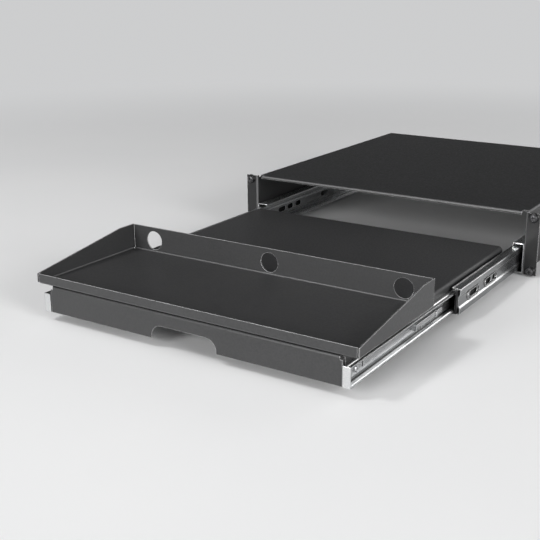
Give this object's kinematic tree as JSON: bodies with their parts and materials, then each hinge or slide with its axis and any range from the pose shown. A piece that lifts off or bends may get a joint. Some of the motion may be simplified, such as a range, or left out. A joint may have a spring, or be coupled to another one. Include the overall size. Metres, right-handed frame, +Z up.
{
  "type": "rack drawer",
  "caption": "Pull-out keyboard drawer for a 19-inch rack: folded black sheet housing with ears, ball-bearing slides, shelf with a finger cut-out, and a tray with cable holes.",
  "frame": {"origin": "centre of the rack screws' rectangle, on the plane where the backs of the ears meet the rack", "axes": "+X across the rack, +Y back into the rack, +Z up; the drawer pulls out along -Y"},
  "size_m": [0.4826, 0.942, 0.0906],
  "materials": {
    "black_sheet": "black powder coat with a fine grain",
    "zinc_slide": "bright zinc plate",
    "cage_steel": "dark phosphate, oiled",
    "ball_steel": "polished",
    "black_plastic": "moulded, satin",
    "zinc_fastener": "zinc plate",
    "black_screw": "black oxide, satin",
    "black_cup": "black, glossy"
  },
  "bodies": {
    "chassis": {"housing": "black_sheet", "slide_rivets": "zinc_fastener", "rack_screws": "black_screw", "cup_washers": "black_cup", "outer_slide_left": "zinc_slide", "outer_slide_right": "zinc_slide", "rear_stop_left": "black_plastic", "rear_stop_right": "black_plastic"},
    "drawer": {"shelf": "black_sheet", "keyboard_tray": "black_sheet", "inner_slide_left": "zinc_slide", "inner_slide_right": "zinc_slide", "inner_slide_screws": "zinc_fastener", "lever_pins": "zinc_fastener"},
    "middle_left": {"middle_slide_left": "zinc_slide", "front_bumper_left": "black_plastic"},
    "outer_cage_left": {"outer_ball_cage_left": "cage_steel", "outer_balls_left": "ball_steel"},
    "inner_cage_left": {"inner_ball_cage_left": "cage_steel", "inner_balls_left": "ball_steel"},
    "lever_left": {"release_lever_left": "zinc_slide"},
    "middle_right": {"middle_slide_right": "zinc_slide", "front_bumper_right": "black_plastic"},
    "outer_cage_right": {"outer_ball_cage_right": "cage_steel", "outer_balls_right": "ball_steel"},
    "inner_cage_right": {"inner_ball_cage_right": "cage_steel", "inner_balls_right": "ball_steel"},
    "lever_right": {"release_lever_right": "zinc_slide"}
  },
  "joints": [
    {"name": "drawer_slide", "type": "slide", "parent": "chassis", "child": "drawer", "axis": [0, -1, 0], "range_m": [-0.468, 0]},
    {"name": "middle_left_slide", "type": "slide", "parent": "chassis", "child": "middle_left", "axis": [0, -1, 0], "range_m": [-0.216, 0]},
    {"name": "outer_cage_left_slide", "type": "slide", "parent": "chassis", "child": "outer_cage_left", "axis": [0, -1, 0], "range_m": [-0.108, 0]},
    {"name": "inner_cage_left_slide", "type": "slide", "parent": "chassis", "child": "inner_cage_left", "axis": [0, -1, 0], "range_m": [-0.342, 0]},
    {"name": "lever_left_hinge", "type": "hinge", "parent": "drawer", "child": "lever_left", "pos_m": [-0.206, -0.264, -0.02085], "axis": [1, 0, 0], "range_deg": [0, 5], "stiffness_Nm_per_rad": 0.5, "springref_deg": -2.86},
    {"name": "middle_right_slide", "type": "slide", "parent": "chassis", "child": "middle_right", "axis": [0, -1, 0], "range_m": [-0.216, 0]},
    {"name": "outer_cage_right_slide", "type": "slide", "parent": "chassis", "child": "outer_cage_right", "axis": [0, -1, 0], "range_m": [-0.108, 0]},
    {"name": "inner_cage_right_slide", "type": "slide", "parent": "chassis", "child": "inner_cage_right", "axis": [0, -1, 0], "range_m": [-0.342, 0]},
    {"name": "lever_right_hinge", "type": "hinge", "parent": "drawer", "child": "lever_right", "pos_m": [0.206, -0.264, -0.02085], "axis": [1, 0, 0], "range_deg": [0, 5], "stiffness_Nm_per_rad": 0.5, "springref_deg": -2.86}
  ],
  "couplings": [
    {"joint": "middle_left_slide", "follows": "drawer_slide", "ratio": 0.46},
    {"joint": "outer_cage_left_slide", "follows": "drawer_slide", "ratio": 0.23},
    {"joint": "inner_cage_left_slide", "follows": "drawer_slide", "ratio": 0.73},
    {"joint": "middle_right_slide", "follows": "drawer_slide", "ratio": 0.46},
    {"joint": "outer_cage_right_slide", "follows": "drawer_slide", "ratio": 0.23},
    {"joint": "inner_cage_right_slide", "follows": "drawer_slide", "ratio": 0.73}
  ]
}
